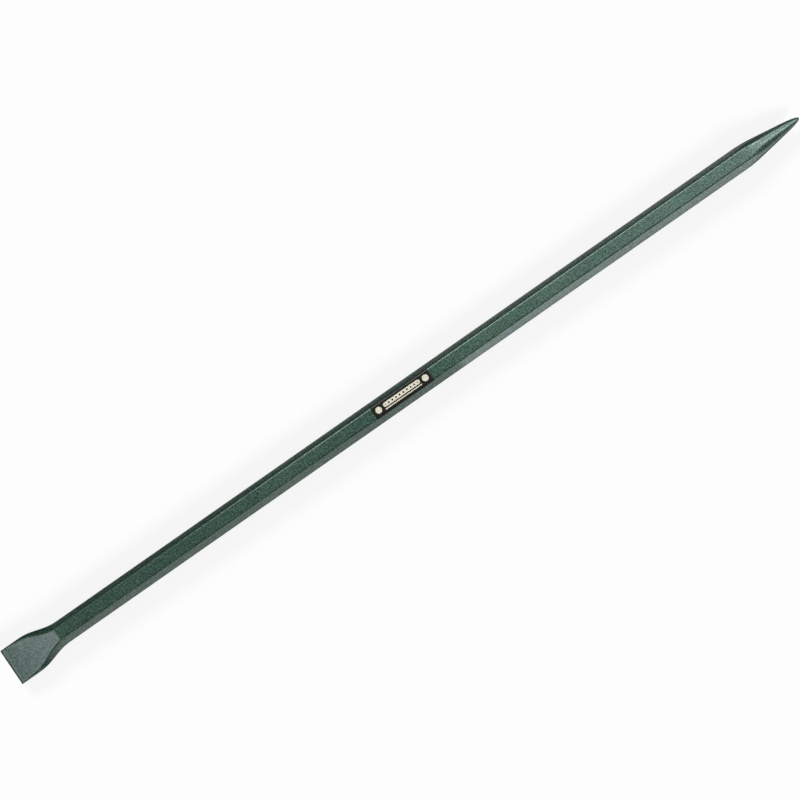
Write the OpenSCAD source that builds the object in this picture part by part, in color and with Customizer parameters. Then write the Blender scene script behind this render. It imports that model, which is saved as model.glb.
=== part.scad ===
// Digging bar: a length of hexagon steel, forged to a chisel blade at one end and a point at the other.
// It lies along X on one of its flats, with the chisel end towards -X, the point towards +X and Z up.
// The origin is on the surface that it lies on, below the middle of its length.
// The steel is one forging: its three named zones meet face to face, and a label film lies on the shank.

/* [Bar] */
// Overall length, from the cutting edge to the tip
bar_length = 1220; // [1000:10:1800]
// Size of the hexagon steel, across its flats
across_flats = 28; // [22:1:36]
// Radius of the rounded arrises between the flats
arris_radius = 2.5; // [1:0.25:4]

/* [Chisel end] */
// Width of the blade, across its side ridges
blade_width = 51; // [44:1:75]
// Length of the blade's parallel sides, from the cutting edge
blade_parallel = 24; // [10:1:60]
// Length of the curved shoulder between the blade and the shank
shoulder_length = 60; // [30:1:90]
// Length of the wedge, from the cutting edge to the crease across the flat
wedge_length = 74; // [50:1:120]
// Depth of the shallow hollow in each face of the wedge
wedge_hollow = 1; // [0:0.25:2]
// Thickness of the wedge behind the ground bevel
edge_thickness = 3.5; // [2:0.25:6]
// Length of the ground bevel on the cutting edge
edge_bevel = 1.5; // [1:0.25:6]
// Thickness of the blunt land along the cutting edge
edge_land = 1; // [0.5:0.25:1.5]
// Distance from a side ridge in to the wedge's face, at the cutting edge
flank_inset = 1; // [0.5:0.25:3]

/* [Point end] */
// Length of the point, from its tip to where it reaches the arrises
point_length = 80; // [50:1:160]
// Length of the rounded nose within the point
nose_length = 24; // [10:1:40]
// Width of the blunt tip
tip_width = 2; // [1:0.25:5]
// Softness of the edge between the point and the flats
point_blend = 2; // [0.5:0.25:4]

/* [Label] */
// Length of the label along the shank
label_length = 88; // [40:1:200]
// Distance of the label's middle from the bar's middle, towards the point
label_shift = -4; // [-150:1:150]
// Reach of the label over its arrises, onto the two flats beside its own
label_lap = 1; // [0:0.25:5]
// Thickness of the label's film
label_film = 0.2; // [0.1:0.05:0.5]

/* [Hidden] */
$fn = 64;

paint_green = [0.22, 0.31, 0.27];
label_black = [0.08, 0.09, 0.08];

// How far a cutting shape passes what it cuts
overrun = 1;

// The hexagon: half its size, the reach of a sharp corner and of a rounded one from the bar's axis
half_flats = across_flats / 2;
corner_reach = half_flats / cos(30);
round_reach = corner_reach - arris_radius * (1 / cos(30) - 1);

// Steps in each rounded arris, along the wedge, along the rest of the shoulder and along the point
arris_steps = 4;
wedge_steps = 22;
shoulder_steps = 4;
point_steps = 26;

// Stretch of the wedge over which its flanks grow from the edge's inset to the hexagon's own, and the
// largest arris radius as a share of a flank's width
flank_shares = [0.12, 0.88];
arris_share = 0.45;

// The chisel end reaches back to the end of its shoulder or of its wedge, whichever is longer
chisel_length = max(blade_parallel + shoulder_length, wedge_length);
chisel_stations = [
    0,
    for (i = [0 : wedge_steps]) mix(edge_bevel, wedge_length, i / wedge_steps),
    if (chisel_length > wedge_length)
        for (i = [1 : shoulder_steps]) mix(wedge_length, chisel_length, i / shoulder_steps)
];

// The point is a cone that runs on into a parabolic nose of the same slope where they meet
tip_radius = tip_width / 2;
nose_share = nose_length / point_length;
nose_radius = (nose_share * round_reach
    + sqrt(pow(nose_share * round_reach, 2) + (1 - pow(nose_share, 2)) * pow(tip_radius, 2)))
    / (1 + nose_share);
point_slope = (round_reach - nose_radius) / (point_length - nose_length);
point_end_length = point_length + point_blend / point_slope;

edge_x = -bar_length / 2;
shank_start_x = edge_x + chisel_length;
tip_x = bar_length / 2;
shank_end_x = tip_x - point_end_length;

function mix(low, high, t) = low + (high - low) * t;

// Smooth step from 0 to 1, level and without bend at both ends
function ease(t) = let (held = min(max(t, 0), 1)) pow(held, 3) * (10 + held * (6 * held - 15));

// The smaller of two values, eased over a given softness where they cross
function soft_min(a, b, softness) =
    min(a, b) - pow(max(softness - abs(a - b), 0), 2) / (4 * softness);

// The arc that rounds a corner of an outline which runs anticlockwise through three points
function corner_arc(before, corner, after, radius) =
    let (
        back = (before - corner) / norm(before - corner),
        ahead = (after - corner) / norm(after - corner),
        half_angle = acos(back * ahead) / 2,
        centre = corner + (back + ahead) / norm(back + ahead) * radius / sin(half_angle),
        start = atan2(back[0], -back[1]),
        sweep = 180 - 2 * half_angle
    )
    [for (i = [0 : arris_steps])
        let (angle = start + sweep * i / arris_steps)
        centre + radius * [cos(angle), sin(angle)]];

// Six-sided section with level faces above and below, and a ridge at each side
function section(ridge, inset, half_height, radius) =
    let (
        face = ridge - inset,
        corners = [
            [ridge, 0],
            [face, half_height],
            [-face, half_height],
            [-ridge, 0],
            [-face, -half_height],
            [face, -half_height]
        ],
        count = len(corners)
    )
    [for (i = [0 : count - 1])
        each corner_arc(corners[(i + count - 1) % count], corners[i], corners[(i + 1) % count], radius)];

hexagon_section = section(corner_reach, corner_reach / 2, half_flats, arris_radius);

// Half the wedge's thickness at a distance from the cutting edge
function wedge_half(distance) =
    let (t = min((distance - edge_bevel) / (wedge_length - edge_bevel), 1))
    t < 0
        ? edge_land / 2
        : mix(edge_thickness / 2, half_flats, t) - wedge_hollow * 4 * t * (1 - t);

// Section of the chisel end at a distance from the cutting edge: its width is across the rounded ridges,
// so the sharp ridges that the rounding starts from lie a little further out
function chisel_section(distance) =
    let (
        half_height = wedge_half(distance),
        spread = (distance / wedge_length - flank_shares[0]) / (flank_shares[1] - flank_shares[0]),
        inset = min(mix(flank_inset, corner_reach / 2, ease(spread)), half_height),
        flank = norm([inset, half_height]),
        radius = min(arris_radius, arris_share * flank),
        reach = mix(blade_width / 2, round_reach, ease((distance - blade_parallel) / shoulder_length)),
        ridge = reach + radius * (flank / half_height - 1)
    )
    section(ridge, inset, half_height, radius);

// Radius of the point at a distance from its tip
function point_radius(distance) =
    distance < nose_length
        ? sqrt(mix(pow(tip_radius, 2), pow(nose_radius, 2), distance / nose_length))
        : nose_radius + point_slope * (distance - nose_length);

// Section of the point end at a distance from its tip: the hexagon, worn down to the point's radius
function point_section(distance) =
    [for (p = hexagon_section) p * soft_min(norm(p), point_radius(distance), point_blend) / norm(p)];

// Stands a section across the bar, with its middle on the bar's axis
function placed(outline, x) = [for (p = outline) [x, p[0], half_flats + p[1]]];

// Solid through a row of rings, which run anticlockwise seen from +X and follow each other towards +X
module loft(rings) {
    count = len(rings[0]);
    last = len(rings) - 1;
    sides = [
        for (k = [0 : last - 1])
            for (i = [0 : count - 1])
                let (
                    here = k * count,
                    beyond = here + count,
                    next = (i + 1) % count
                )
                each [
                    [here + i, beyond + i, beyond + next],
                    [here + i, beyond + next, here + next]
                ]
    ];
    first_cap = [for (i = [0 : count - 1]) i];
    last_cap = [for (i = [count - 1 : -1 : 0]) last * count + i];
    polyhedron(points = [for (ring = rings) each ring], faces = concat(sides, [first_cap, last_cap]));
}

// Hexagon with level flats above and below and round arrises
module rounded_hexagon(size, radius) {
    flat_length = (size - 2 * radius) * tan(30);
    for (turn = [0 : 60 : 120])
        rotate(turn)
            square([flat_length, size], center = true);
    for (turn = [0 : 60 : 300])
        rotate(turn)
            translate([flat_length, 0])
                circle(radius);
}

// Runs an outline along the bar
module along_bar(x, length)
    translate([x, 0, half_flats])
        rotate([90, 0, 90])
            linear_extrude(length)
                children();

// Blade flattened out of the hexagon, with a hollow wedge above and below and a ground edge
module chisel_end()
    color(paint_green)
        loft([for (distance = chisel_stations) placed(chisel_section(distance), edge_x + distance)]);

// Plain hexagon bar between the forged ends
module shank()
    color(paint_green)
        along_bar(shank_start_x, shank_end_x - shank_start_x)
            rounded_hexagon(across_flats, arris_radius);

// Round point drawn out of the hexagon, with stations that crowd towards the tip
module point_end()
    color(paint_green)
        loft([for (i = [0 : point_steps])
            let (distance = point_end_length * pow(1 - i / point_steps, 2))
            placed(point_section(distance), tip_x - distance)]);

// Part of the section that the label covers: its own flat, both arrises and a lap on each side
module label_window() {
    arris_centre = [(half_flats - arris_radius) * tan(30), half_flats - arris_radius];
    lap_start = arris_centre + label_lap * [sin(30), -cos(30)];
    lap_end = lap_start + (arris_radius + label_film + overrun) * [cos(30), sin(30)];
    top = half_flats + label_film + overrun;
    right_side = [lap_start, lap_end, [lap_end[0], top]];
    left_side = [for (i = [len(right_side) - 1 : -1 : 0]) [-right_side[i][0], right_side[i][1]]];
    polygon(concat(right_side, left_side));
}

// Thin film stuck to the upper flat and bent over its arrises
module label()
    color(label_black)
        along_bar(label_shift - label_length / 2, label_length)
            intersection() {
                difference() {
                    rounded_hexagon(across_flats + 2 * label_film, arris_radius + label_film);
                    rounded_hexagon(across_flats, arris_radius);
                }
                label_window();
            }

chisel_end();
shank();
point_end();
label();
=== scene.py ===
from math import acos, atan2, cos, hypot, pi, radians, sin, sqrt, tan

import bmesh
import bpy
from mathutils import Matrix, Vector, noise


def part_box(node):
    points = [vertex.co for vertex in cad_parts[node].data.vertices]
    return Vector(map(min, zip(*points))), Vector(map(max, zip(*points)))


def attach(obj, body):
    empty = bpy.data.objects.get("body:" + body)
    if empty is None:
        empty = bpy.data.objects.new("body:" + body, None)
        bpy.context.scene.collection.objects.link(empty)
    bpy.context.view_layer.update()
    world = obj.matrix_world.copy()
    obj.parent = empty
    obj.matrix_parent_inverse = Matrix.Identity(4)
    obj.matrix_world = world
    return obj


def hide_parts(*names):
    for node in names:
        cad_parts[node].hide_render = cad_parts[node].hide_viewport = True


# A digging bar that lies along X on one of its flats, with its blade towards -X and its point towards +X.
# Lengths are in metres.
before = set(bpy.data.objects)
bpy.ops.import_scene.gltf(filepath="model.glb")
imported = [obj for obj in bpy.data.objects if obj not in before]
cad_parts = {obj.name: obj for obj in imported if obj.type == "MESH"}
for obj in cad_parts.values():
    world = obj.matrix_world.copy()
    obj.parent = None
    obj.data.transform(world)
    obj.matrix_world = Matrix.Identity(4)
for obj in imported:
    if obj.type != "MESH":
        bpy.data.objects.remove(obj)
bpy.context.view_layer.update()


# Forged bar
# One length of rolled hexagon steel with rounded arrises, in dark green enamel. One end is forged flat to
# a wide chisel blade with a ground edge, and the other is drawn out to a round point. The real bar has no
# seams, so it is one mesh.
chisel_low, chisel_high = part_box("chisel_end")
shank_low, shank_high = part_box("shank")
point_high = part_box("point_end")[1]

edge_x = chisel_low.x
shank_start_x = shank_low.x
shank_end_x = shank_high.x
tip_x = point_high.x
chisel_length = shank_start_x - edge_x
point_end_length = tip_x - shank_end_x

# The hexagon: half its size across the flats, and how far a sharp and a rounded arris are from its axis
half_flats = (shank_high.z - shank_low.z) / 2
axis_z = shank_low.z + half_flats
corner_reach = half_flats / cos(radians(30))
round_reach = shank_high.y
arris_radius = (corner_reach - round_reach) / (1 / cos(radians(30)) - 1)

# The blade: parallel sides, then a curved shoulder, and a hollow wedge above and below up to a soft crease
blade_reach = chisel_high.y
blade_parallel = 0.024
shoulder_length = 0.060
wedge_length = 0.074
wedge_hollow = 0.001
edge_thickness = 0.0035
edge_bevel = 0.0015
edge_land = 0.001
flank_inset = 0.001
flank_spread_start = 0.12
flank_spread_end = 0.88
arris_share = 0.45
crease_rounding = 0.0011

# The point: a cone that runs on into a rounded nose of the same slope where they meet
point_length = 0.080
nose_length = 0.024
tip_radius = 0.001
tip_rounding = 0.0005
point_blend = 0.002
nose_share = nose_length / point_length
nose_reach = nose_share * round_reach
nose_root = sqrt(nose_reach**2 + (1 - nose_share**2) * tip_radius**2)
nose_radius = (nose_reach + nose_root) / (1 + nose_share)
point_slope = (round_reach - nose_radius) / (point_length - nose_length)

# Steps round each section, and along the bar
arris_steps = 5
flat_steps = 4
wedge_steps = 22
shoulder_steps = 3
shank_steps = 170
point_steps = 44


def mix(low, high, share):
    return low + (high - low) * share


def spaced(low, high, steps):
    return [mix(low, high, step / steps) for step in range(steps + 1)]


# Smooth step from 0 to 1, level at both ends
def ease(share):
    held = min(max(share, 0), 1)
    return held**3 * (10 + held * (6 * held - 15))


# The smaller of two values, eased over a given softness where they cross
def soft_min(a, b, softness):
    return min(a, b) - max(softness - abs(a - b), 0) ** 2 / (4 * softness)


# The arc that rounds a corner of an outline, which runs anticlockwise through three points
def rounded_corner(before, corner, after, radius):
    back = (before - corner).normalized()
    ahead = (after - corner).normalized()
    half_angle = acos(back.dot(ahead)) / 2
    centre = corner + (back + ahead).normalized() * radius / sin(half_angle)
    start = atan2(back.x, -back.y)
    sweep = pi - 2 * half_angle
    angles = [start + sweep * step / arris_steps for step in range(arris_steps + 1)]
    return [centre + radius * Vector((cos(angle), sin(angle))) for angle in angles]


# A section with level faces above and below, and a ridge at each side
def six_sided_section(ridge, inset, half_height, radius):
    face = ridge - inset
    corners = [
        Vector((ridge, 0)),
        Vector((face, half_height)),
        Vector((-face, half_height)),
        Vector((-ridge, 0)),
        Vector((-face, -half_height)),
        Vector((face, -half_height)),
    ]
    befores = corners[-1:] + corners[:-1]
    afters = corners[1:] + corners[:1]
    arcs = [rounded_corner(*trio, radius) for trio in zip(befores, corners, afters)]
    outline = []
    for arc, next_arc in zip(arcs, arcs[1:] + arcs[:1]):
        outline += arc
        outline += [arc[-1].lerp(next_arc[0], step / flat_steps) for step in range(1, flat_steps)]
    return outline


# Half the wedge's thickness at a distance from the cutting edge: the hollow is deepest halfway
def wedge_half_height(distance):
    share = min((distance - edge_bevel) / (wedge_length - edge_bevel), 1)
    if share < 0:
        return edge_land / 2
    return mix(edge_thickness / 2, half_flats, share) - wedge_hollow * 4 * share * (1 - share)


# The blade's section at a distance from the cutting edge: a parabola rounds the crease
def chisel_section(distance):
    half_height = wedge_half_height(distance)
    crease_gap = abs(distance - wedge_length)
    if crease_gap < crease_rounding:
        before_crease = wedge_half_height(wedge_length - crease_rounding)
        dip = (half_flats - before_crease) / 4
        half_height = mix(half_flats - dip, half_height, (crease_gap / crease_rounding) ** 2)
    spread = (distance / wedge_length - flank_spread_start) / (flank_spread_end - flank_spread_start)
    inset = min(mix(flank_inset, corner_reach / 2, ease(spread)), half_height)
    flank = hypot(inset, half_height)
    radius = min(arris_radius, arris_share * flank)
    reach = mix(blade_reach, round_reach, ease((distance - blade_parallel) / shoulder_length))
    ridge = reach + radius * (flank / half_height - 1)
    return six_sided_section(ridge, inset, half_height, radius)


hexagon_section = six_sided_section(corner_reach, corner_reach / 2, half_flats, arris_radius)


def point_radius(distance):
    if distance < nose_length:
        return sqrt(mix(tip_radius**2, nose_radius**2, distance / nose_length))
    return nose_radius + point_slope * (distance - nose_length)


# The point's section at a distance from the tip: the hexagon, worn down to the point's radius
def point_section(distance):
    radius = point_radius(distance)
    return [p * (soft_min(p.length, radius, point_blend) / p.length) for p in hexagon_section]


# Hot-rolled steel is never quite flat: every ring is drawn in or let out by a few hundredths of a
# millimetre, which makes the reflections in the long flats run slightly uneven.
rolling_depth = 0.00005
rolling_waves = 22.0


def rolled(place):
    out = Vector((0, place.y, place.z - axis_z))
    wave = noise.noise(place * rolling_waves)
    return place + out.normalized() * rolling_depth * wave


# The rings stand close together at the crease, and crowd towards the tip
crease_margin = 0.004
crease_gaps = (-2, -1, -0.5, 0, 0.5, 1, 2)
chisel_distances = [0]
chisel_distances += spaced(edge_bevel, wedge_length - crease_margin, wedge_steps)
chisel_distances += [wedge_length + gap * crease_rounding for gap in crease_gaps]
chisel_distances += spaced(wedge_length + crease_margin, chisel_length, shoulder_steps)
shank_stations = spaced(shank_start_x, shank_end_x, shank_steps)[1:-1]
point_distances = [point_end_length * (1 - step / point_steps) ** 2 for step in range(point_steps + 1)]

stations = [(edge_x + distance, chisel_section(distance)) for distance in chisel_distances]
stations += [(x, hexagon_section) for x in shank_stations]
stations += [(tip_x - distance, point_section(distance)) for distance in point_distances]

bar_mesh = bmesh.new()
turn_layer = bar_mesh.verts.layers.int.new("turn")
upright = Matrix.Rotation(radians(90), 4, "Y")
blank = bmesh.ops.create_circle(bar_mesh, segments=len(hexagon_section), radius=half_flats, matrix=upright)
ring = blank["verts"]
for turn, vert in enumerate(ring):
    vert[turn_layer] = turn
edge_ring = bar_mesh.edges[:]
end_ring = edge_ring
for station, (x, section) in enumerate(stations):
    if station > 0:
        grown = bmesh.ops.extrude_edge_only(bar_mesh, edges=end_ring)["geom"]
        ring = [part for part in grown if isinstance(part, bmesh.types.BMVert)]
        end_ring = [part for part in grown if isinstance(part, bmesh.types.BMEdge)]
        end_ring = [edge for edge in end_ring if edge.verts[0] in ring and edge.verts[1] in ring]
    for vert in ring:
        y, z = section[vert[turn_layer]]
        vert.co = rolled(Vector((x, y, axis_z + z)))
bmesh.ops.edgeloop_fill(bar_mesh, edges=edge_ring)
bmesh.ops.edgeloop_fill(bar_mesh, edges=end_ring)
bmesh.ops.bevel(
    bar_mesh,
    geom=end_ring,
    offset=tip_rounding,
    offset_type="OFFSET",
    segments=3,
    profile=0.5,
    affect="EDGES",
    material=-1,
)


def new_piece(name, mesh):
    piece = bpy.data.objects.new(name, bpy.data.meshes.new(name))
    mesh.to_mesh(piece.data)
    mesh.free()
    bpy.context.scene.collection.objects.link(piece)
    return piece


# A piece with smooth shading, in which the large faces keep the flats flat
def smooth_piece(name, mesh):
    bmesh.ops.recalc_face_normals(mesh, faces=mesh.faces[:])
    for face in mesh.faces:
        face.smooth = True
    piece = new_piece(name, mesh)
    flat_shading = piece.modifiers.new("flat_shading", "WEIGHTED_NORMAL")
    flat_shading.mode = "FACE_AREA"
    flat_shading.weight = 60
    return piece


forged_bar = smooth_piece("forged_bar", bar_mesh)


def new_finish(name):
    finish = bpy.data.materials.new(name)
    finish.use_nodes = True
    return finish, finish.node_tree.nodes["Principled BSDF"]


def add_node(tree, kind, **settings):
    node = tree.nodes.new(kind)
    for name, value in settings.items():
        setattr(node, name, value)
    return node


# Links a socket to its source, or sets it to a plain value
def connect(source, socket):
    if isinstance(source, bpy.types.NodeSocket):
        socket.id_data.links.new(source, socket)
    else:
        socket.default_value = source


def feed(node, **sources):
    for name, source in sources.items():
        connect(source, node.inputs[name.replace("_", " ")])
    return node


def feed_in_order(node, *sources):
    for source, socket in zip(sources, node.inputs):
        connect(source, socket)
    return node


def calculate(tree, operation, *values, clamp=False):
    step = add_node(tree, "ShaderNodeMath", operation=operation, use_clamp=clamp)
    return feed_in_order(step, *values).outputs[0]


def remap(tree, value, curve="LINEAR", **ends):
    step = add_node(tree, "ShaderNodeMapRange", interpolation_type=curve)
    return feed(step, Value=value, **ends).outputs["Result"]


def mix_colours(tree, share, first, second):
    step = add_node(tree, "ShaderNodeMix", data_type="RGBA")
    sockets = {socket.identifier: socket for socket in step.inputs}
    connect(share, sockets["Factor_Float"])
    connect(first, sockets["A_Color"])
    connect(second, sockets["B_Color"])
    return next(socket for socket in step.outputs if socket.identifier == "Result_Color")


# Hammer enamel flows into small round dishes with raised rims while it dries, and its metal flakes
# gather in the rims. The group gives the height of the dishes, the share of flakes and a slow drift.
flow_reach = (0.9, 0.9, 0.9)
grain_depth = 0.22
rim_flakes = 0.4
hammer_dishes = bpy.data.node_groups.new("hammer_dishes", "ShaderNodeTree")
for name, kind in (("Place", "NodeSocketVector"), ("Dish Size", "NodeSocketFloat")):
    hammer_dishes.interface.new_socket(name, in_out="INPUT", socket_type=kind)
for name in ("Height", "Flakes", "Drift"):
    hammer_dishes.interface.new_socket(name, in_out="OUTPUT", socket_type="NodeSocketFloat")
dish_in = add_node(hammer_dishes, "NodeGroupInput")
dish_out = add_node(hammer_dishes, "NodeGroupOutput")

dishes_per_metre = calculate(hammer_dishes, "DIVIDE", 1, dish_in.outputs["Dish Size"])
scaled = add_node(hammer_dishes, "ShaderNodeVectorMath", operation="SCALE")
feed(scaled, Vector=dish_in.outputs["Place"], Scale=dishes_per_metre)
in_dishes = scaled.outputs["Vector"]

flow = add_node(hammer_dishes, "ShaderNodeTexNoise")
feed(flow, Vector=in_dishes, Scale=0.7, Detail=2.0)
flowed = add_node(hammer_dishes, "ShaderNodeVectorMath", operation="MULTIPLY_ADD")
feed_in_order(flowed, flow.outputs["Color"], flow_reach, in_dishes)
dish = add_node(hammer_dishes, "ShaderNodeTexVoronoi", feature="SMOOTH_F1")
feed(dish, Vector=flowed.outputs["Vector"], Scale=1.0, Smoothness=0.5, Randomness=0.9)
grain = add_node(hammer_dishes, "ShaderNodeTexNoise")
feed(grain, Vector=in_dishes, Scale=3.2, Detail=2.0)
grain_height = calculate(hammer_dishes, "MULTIPLY", grain.outputs["Fac"], grain_depth)
height = calculate(hammer_dishes, "ADD", dish.outputs["Distance"], grain_height)

specks = add_node(hammer_dishes, "ShaderNodeTexNoise")
feed(specks, Vector=in_dishes, Scale=1.7, Detail=3.0, Roughness=0.6)
rims = remap(hammer_dishes, dish.outputs["Distance"], From_Min=0.25, From_Max=0.75)
gathered = calculate(hammer_dishes, "MULTIPLY_ADD", rims, rim_flakes, specks.outputs["Fac"])
flakes = remap(hammer_dishes, gathered, curve="SMOOTHSTEP", From_Min=0.4, From_Max=0.95)

drift = add_node(hammer_dishes, "ShaderNodeTexNoise")
feed(drift, Vector=dish_in.outputs["Place"], Scale=14.0, Detail=2.0)
feed(dish_out, Height=height, Flakes=flakes, Drift=drift.outputs["Fac"])

# Dark green enamel: deep green varnish over steel, paler and greyer where the flakes gather. The clear
# skin on top mirrors the floor at a flat angle, and is fuller over the flakes.
deep_green = (0.010, 0.034, 0.023, 1)
flake_olive = (0.0600, 0.121, 0.0830, 1)
flake_teal = (0.0575, 0.119, 0.0920, 1)
edge_grey = (0.55, 0.55, 0.55, 1)
enamel_dish_size = 0.0020
enamel_dish_depth = 0.00021
flake_drift = 0.14
dish_roughness = 0.38
flake_roughness = 0.52
dish_skin = 0.68
flake_skin = 1.0
enamel, enamel_shader = new_finish("green_hammer_enamel")
enamel_tree = enamel.node_tree
bar_place = add_node(enamel_tree, "ShaderNodeTexCoord")
bar_dishes = add_node(enamel_tree, "ShaderNodeGroup", node_tree=hammer_dishes)
feed(bar_dishes, Place=bar_place.outputs["Object"], Dish_Size=enamel_dish_size)

drifted = remap(
    enamel_tree,
    bar_dishes.outputs["Drift"],
    From_Min=0.3,
    From_Max=0.7,
    To_Min=-flake_drift,
    To_Max=flake_drift,
)
flake_share = calculate(enamel_tree, "ADD", bar_dishes.outputs["Flakes"], drifted, clamp=True)
hue_share = remap(enamel_tree, bar_dishes.outputs["Drift"], From_Min=0.36, From_Max=0.64)
flake_hue = mix_colours(enamel_tree, hue_share, flake_teal, flake_olive)
enamel_colour = mix_colours(enamel_tree, flake_share, deep_green, flake_hue)
enamel_gloss = remap(
    enamel_tree,
    bar_dishes.outputs["Flakes"],
    To_Min=dish_roughness,
    To_Max=flake_roughness,
)
enamel_skin = remap(enamel_tree, bar_dishes.outputs["Flakes"], To_Min=dish_skin, To_Max=flake_skin)
enamel_relief = add_node(enamel_tree, "ShaderNodeBump")
feed(enamel_relief, Strength=1.0, Distance=enamel_dish_depth, Height=bar_dishes.outputs["Height"])
feed(enamel_shader, Base_Color=enamel_colour, Roughness=enamel_gloss, Coat_Weight=enamel_skin)
feed(enamel_shader, Normal=enamel_relief.outputs["Normal"])
feed(enamel_shader, Metallic=0.66, Specular_IOR_Level=0.0, Specular_Tint=edge_grey)
feed(enamel_shader, Coat_Roughness=0.22, Coat_IOR=1.58)
forged_bar.data.materials.append(enamel)

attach(forged_bar, "root")
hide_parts("chisel_end", "shank", "point_end")


# Label
# Printed vinyl film, near black with cream print, cut with rounded corners and stuck to the upper flat.
# It is bent over both arrises, and the dishes of the enamel show through it a little.
label_low, label_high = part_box("label")
label_length = label_high.x - label_low.x
label_middle_x = (label_high.x + label_low.x) / 2
label_film = label_high.z - shank_high.z
label_lap = 0.001
label_corner = 0.002
label_strips = 12
bend_steps = 6
arris_turn = radians(60)
half_flat = (half_flats - arris_radius) * tan(radians(30))
label_half_girth = half_flat + arris_radius * arris_turn + label_lap


def flat_sheet(length, width):
    sheet = bmesh.new()
    bmesh.ops.create_grid(sheet, x_segments=1, y_segments=1, size=0.5)
    bmesh.ops.scale(sheet, vec=(length, width, 1), verts=sheet.verts)
    return sheet


def score_line(sheet, place, direction):
    whole = sheet.verts[:] + sheet.edges[:] + sheet.faces[:]
    bmesh.ops.bisect_plane(sheet, geom=whole, plane_co=place, plane_no=direction)


label_mesh = flat_sheet(label_length, 2 * label_half_girth)
bmesh.ops.bevel(
    label_mesh,
    geom=label_mesh.verts[:],
    offset=label_corner,
    offset_type="OFFSET",
    segments=5,
    profile=0.5,
    affect="VERTICES",
    material=-1,
)
bends = [half_flat + arris_radius * arris_turn * step / bend_steps for step in range(bend_steps + 1)]
for across in [-bend for bend in bends] + [0] + bends:
    score_line(label_mesh, (0, across, 0), (0, 1, 0))
for strip in range(1, label_strips):
    score_line(label_mesh, (label_length * (strip / label_strips - 0.5), 0, 0), (1, 0, 0))
lifted = bmesh.ops.extrude_face_region(label_mesh, geom=label_mesh.faces[:])["geom"]
lifted_verts = [part for part in lifted if isinstance(part, bmesh.types.BMVert)]
bmesh.ops.translate(label_mesh, vec=(0, 0, label_film), verts=lifted_verts)

# The flat film is bent: what lies past the flat follows the arris, and then the next flat
for vert in label_mesh.verts:
    x = label_middle_x + vert.co.x
    side = 1 if vert.co.y > 0 else -1
    past_flat = max(abs(vert.co.y) - half_flat, 0)
    bend = min(past_flat / arris_radius, arris_turn)
    lap = past_flat - arris_radius * bend
    out = arris_radius + vert.co.z
    y = min(abs(vert.co.y), half_flat) + out * sin(bend) + lap * cos(arris_turn)
    z = axis_z + half_flats - arris_radius + out * cos(bend) - lap * sin(arris_turn)
    vert.co = rolled(Vector((x, side * y, z)))
label = smooth_piece("label_film", label_mesh)

film_black = (0.005, 0.007, 0.004, 1)
print_cream = (0.82, 0.78, 0.62, 1)
worn_ink = 0.8
ink_spread = 0.00012
film_dish_depth = 0.00008
film, film_shader = new_finish("printed_label_film")
film_tree = film.node_tree
film_place = add_node(film_tree, "ShaderNodeTexCoord")
on_label = add_node(film_tree, "ShaderNodeMapping")
feed(on_label, Vector=film_place.outputs["Object"], Location=(-label_middle_x, 0, 0))
label_axes = add_node(film_tree, "ShaderNodeSeparateXYZ")
feed(label_axes, Vector=on_label.outputs["Vector"])
label_across = label_axes.outputs["Y"]
from_middle = calculate(film_tree, "ABSOLUTE", label_axes.outputs["X"])


def inside(distance, limit):
    return remap(film_tree, distance, From_Min=limit + ink_spread, From_Max=limit - ink_spread)


def round_spot(along, across, radius):
    squares = [calculate(film_tree, "POWER", distance, 2) for distance in (along, across)]
    from_centre = calculate(film_tree, "SQRT", calculate(film_tree, "ADD", *squares))
    return inside(from_centre, radius)


# The print: a round-ended stripe pierced by a row of dots, a thin rule below it, and a disc at each end
stripe_half_length = 0.0250
stripe_radius = 0.0029
stripe_raise = 0.0012
dot_pitch = 0.0056
dot_radius = 0.0012
rule_drop = 0.0041
rule_half_width = 0.0007
disc_from_middle = 0.0358
disc_radius = 0.0043

stripe_across = calculate(film_tree, "SUBTRACT", label_across, stripe_raise)
past_stripe = calculate(film_tree, "SUBTRACT", from_middle, stripe_half_length)
print_stripe = round_spot(calculate(film_tree, "MAXIMUM", past_stripe, 0), stripe_across, stripe_radius)
from_dot = calculate(film_tree, "PINGPONG", from_middle, dot_pitch / 2)
dot_along = calculate(film_tree, "SUBTRACT", dot_pitch / 2, from_dot)
dot_row = round_spot(dot_along, stripe_across, dot_radius)
dots = calculate(film_tree, "MULTIPLY", dot_row, inside(from_middle, stripe_half_length))
pierced_stripe = calculate(film_tree, "SUBTRACT", print_stripe, dots)
from_rule = calculate(film_tree, "ABSOLUTE", calculate(film_tree, "ADD", label_across, rule_drop))
rule_length = inside(from_middle, stripe_half_length + stripe_radius)
rule = calculate(film_tree, "MULTIPLY", rule_length, inside(from_rule, rule_half_width))
disc_along = calculate(film_tree, "SUBTRACT", from_middle, disc_from_middle)
disc = round_spot(disc_along, label_across, disc_radius)
ink = calculate(film_tree, "MAXIMUM", calculate(film_tree, "MAXIMUM", pierced_stripe, rule), disc)

film_dishes = add_node(film_tree, "ShaderNodeGroup", node_tree=hammer_dishes)
feed(film_dishes, Place=film_place.outputs["Object"], Dish_Size=enamel_dish_size)
ink_wear = remap(film_tree, film_dishes.outputs["Flakes"], To_Min=1.0, To_Max=worn_ink)
ink_share = calculate(film_tree, "MULTIPLY", ink, ink_wear)
film_gloss = remap(film_tree, film_dishes.outputs["Flakes"], To_Min=0.20, To_Max=0.34)
film_relief = add_node(film_tree, "ShaderNodeBump")
feed(film_relief, Strength=1.0, Distance=film_dish_depth, Height=film_dishes.outputs["Height"])
feed(film_shader, Base_Color=mix_colours(film_tree, ink_share, film_black, print_cream))
feed(film_shader, Roughness=film_gloss, Normal=film_relief.outputs["Normal"], Specular_IOR_Level=0.35)
label.data.materials.append(film)

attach(label, "root")
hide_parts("label")


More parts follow.
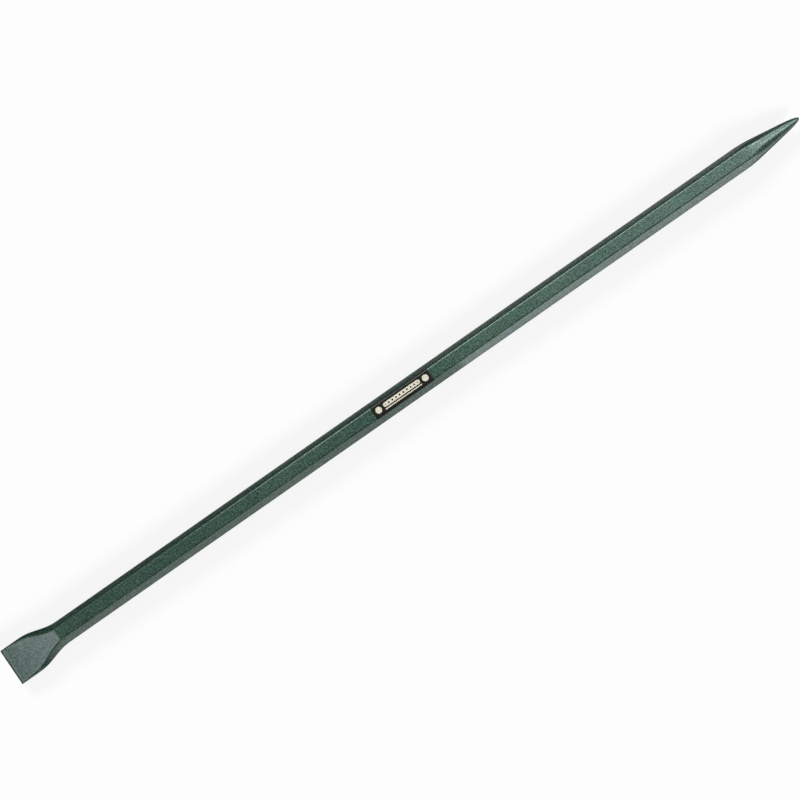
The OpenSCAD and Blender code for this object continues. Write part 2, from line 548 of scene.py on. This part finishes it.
# Floor
# Plain white studio paper, laid flat under the bar and far past the picture's edges. It lies a hair low,
# so that the uneven flat of the bar doesn't dip into it, and looks white to the camera and to reflections.
floor_width = 40.0
paper_white = (0.93, 0.93, 0.93, 1)
paper_glow = 0.82
floor_mesh = flat_sheet(floor_width, floor_width)
bmesh.ops.translate(floor_mesh, vec=(0, 0, -rolling_depth), verts=floor_mesh.verts)
floor = new_piece("floor", floor_mesh)
paper, paper_shader = new_finish("white_paper")
paper_tree = paper.node_tree
feed(paper_shader, Base_Color=paper_white, Roughness=1.0, Specular_IOR_Level=0.0)
rays = add_node(paper_tree, "ShaderNodeLightPath")
seen = calculate(paper_tree, "MAXIMUM", rays.outputs["Is Camera Ray"], rays.outputs["Is Glossy Ray"])
seen_or_through = calculate(paper_tree, "MAXIMUM", seen, rays.outputs["Is Transmission Ray"])
glow_share = calculate(paper_tree, "MULTIPLY", seen_or_through, paper_glow)
glow = add_node(paper_tree, "ShaderNodeEmission")
feed(glow, Strength=1.0)
glowing_paper = add_node(paper_tree, "ShaderNodeMixShader")
feed_in_order(glowing_paper, glow_share, paper_shader.outputs["BSDF"], glow.outputs["Emission"])
feed(paper_tree.nodes["Material Output"], Surface=glowing_paper.outputs["Shader"])
paper.cycles.emission_sampling = "NONE"
floor.data.materials.append(paper)


# Studio light
# A dim white room and a soft sun on each side light the colours. Soft boxes over the bar, a card by the
# point and a high box beyond the far side show only in reflections, and so do black sheets on the floor,
# below the bar and beside it, which are painted shadow that only reflections see.
room_level = 0.20
room_white = (1, 1, 1, 1)
room = bpy.data.worlds.new("room")
room.use_nodes = True
feed(room.node_tree.nodes["Background"], Color=room_white, Strength=room_level)
bpy.context.scene.world = room


# A lamp seen only in reflections, whose energy gives its face the radiance asked for
def soft_box(name, place, aim, size, radiance, colour):
    width, depth = size
    lamp = bpy.data.lights.new(name, "AREA")
    lamp.shape = "RECTANGLE"
    lamp.size = width
    lamp.size_y = depth
    lamp.energy = 4 * radiance * width * depth
    lamp.color = colour
    holder = bpy.data.objects.new(name, lamp)
    facing = (Vector(aim) - Vector(place)).to_track_quat("-Z", "Y")
    holder.matrix_world = Matrix.Translation(place) @ facing.to_matrix().to_4x4()
    holder.visible_diffuse = False
    holder.visible_camera = False
    bpy.context.scene.collection.objects.link(holder)


plain_white = (1, 1, 1)
cool_white = (0.97, 1.0, 1.07)
soft_white = (0.99, 1.0, 1.04)
lilac_white = (0.98, 0.93, 1.07)

# The boxes over the bar: their angle from straight up towards the point, then depth, radiance and colour
overhead_distance = 3.2
overhead_width = 1.5
overhead_row = {
    -43: (0.9, 2.3, cool_white),
    18: (0.9, 0.8, soft_white),
    32: (0.9, 2.3, soft_white),
    48: (1.4, 4.6, lilac_white),
}
for angle, (depth, radiance, colour) in overhead_row.items():
    place = Vector((sin(radians(angle)), 0, cos(radians(angle)))) * overhead_distance
    soft_box(f"overhead_box_{angle}", place, (0, 0, 0), (overhead_width, depth), radiance, colour)
soft_box(
    "point_side_card",
    place=(0.68, -0.17, 0.002),
    aim=(0.68, -0.17, 1),
    size=(1.2, 0.26),
    radiance=0.82,
    colour=lilac_white,
)
soft_box(
    "far_side_box",
    place=(0.8, 1.76, 2.43),
    aim=(0.8, 0, 0),
    size=(2.6, 1.3),
    radiance=7.0,
    colour=plain_white,
)

# Black sheets lying on the floor, seen only in reflections: painted shadow on the floor where the bar's
# shade falls, beside it and under it
painted_shadow_colour = (0.03, 0.03, 0.03, 1)
painted_shadow_height = 0.002
painted_shadow_finish, painted_shadow_shader = new_finish("painted_shadow_black")
feed(painted_shadow_shader, Base_Color=painted_shadow_colour, Roughness=1.0, Specular_IOR_Level=0.0)


def painted_shadow_sheet(name, middle, size, turn):
    card_mesh = flat_sheet(*size)
    bmesh.ops.translate(card_mesh, vec=(*middle, painted_shadow_height), verts=card_mesh.verts)
    turned = Matrix.Rotation(turn, 3, "Z")
    bmesh.ops.rotate(card_mesh, cent=(0, 0, 0), matrix=turned, verts=card_mesh.verts)
    card = new_piece(name, card_mesh)
    card.data.materials.append(painted_shadow_finish)
    card.visible_camera = False
    card.visible_diffuse = False
    card.visible_shadow = False
    card.visible_transmission = False


# Painted shadow for reflections: a strip beyond the far side, one under the bar and a patch beside the
# blade
painted_shadow_sheet("far_side_painted_shadow", middle=(0, 0.337), size=(2.4, 0.6), turn=radians(0.4))
painted_shadow_sheet("painted_shadow_under_bar", middle=(0, 0), size=(1.4, 0.06), turn=0)
painted_shadow_sheet("painted_shadow_by_blade", middle=(-0.61, -0.122), size=(0.12, 0.12), turn=0)

# The suns light the colours only: the gloss shows the boxes instead
daylight_height = radians(35)
daylight_softness = radians(20)
for name, side, strength in (("near_daylight", -1, 2.3), ("far_daylight", 1, 2.1)):
    daylight = bpy.data.lights.new(name, "SUN")
    daylight.energy = strength
    daylight.angle = daylight_softness
    holder = bpy.data.objects.new(name, daylight)
    falling = Vector((0, -side * cos(daylight_height), -sin(daylight_height)))
    holder.matrix_world = falling.to_track_quat("-Z", "Y").to_matrix().to_4x4()
    holder.visible_glossy = False
    bpy.context.scene.collection.objects.link(holder)


# Camera
# It looks down on the bar, a little from the near side, and is turned so that the bar runs from lower
# left to upper right.
picture_size = 800
bar_pixels = 960.1
bar_middle_pixel = (405.02, 392.88)
bar_tilt = radians(34.92)
bar_roll = radians(4.1)
lens = 100.0
sensor = 36.0
farthest_view = 50.0

camera_data = bpy.data.cameras.new("camera")
camera_data.lens = lens
camera_data.sensor_width = sensor
camera_data.clip_end = farthest_view
camera = bpy.data.objects.new("camera", camera_data)
pixel = (tip_x - edge_x) / bar_pixels
distance = picture_size * pixel * lens / sensor
towards_camera = Vector((0, -sin(bar_roll), cos(bar_roll)))
along = Vector((1, 0, 0))
across = towards_camera.cross(along)
right = along * cos(bar_tilt) - across * sin(bar_tilt)
up = along * sin(bar_tilt) + across * cos(bar_tilt)
aim = Vector(((tip_x + edge_x) / 2, 0, axis_z))
aim -= right * (bar_middle_pixel[0] - picture_size / 2) * pixel
aim += up * (bar_middle_pixel[1] - picture_size / 2) * pixel
turned = Matrix((right, up, towards_camera)).transposed().to_4x4()
camera.matrix_world = Matrix.Translation(aim + towards_camera * distance) @ turned
bpy.context.scene.collection.objects.link(camera)
bpy.context.scene.camera = camera
bpy.context.scene.view_settings.view_transform = "Standard"
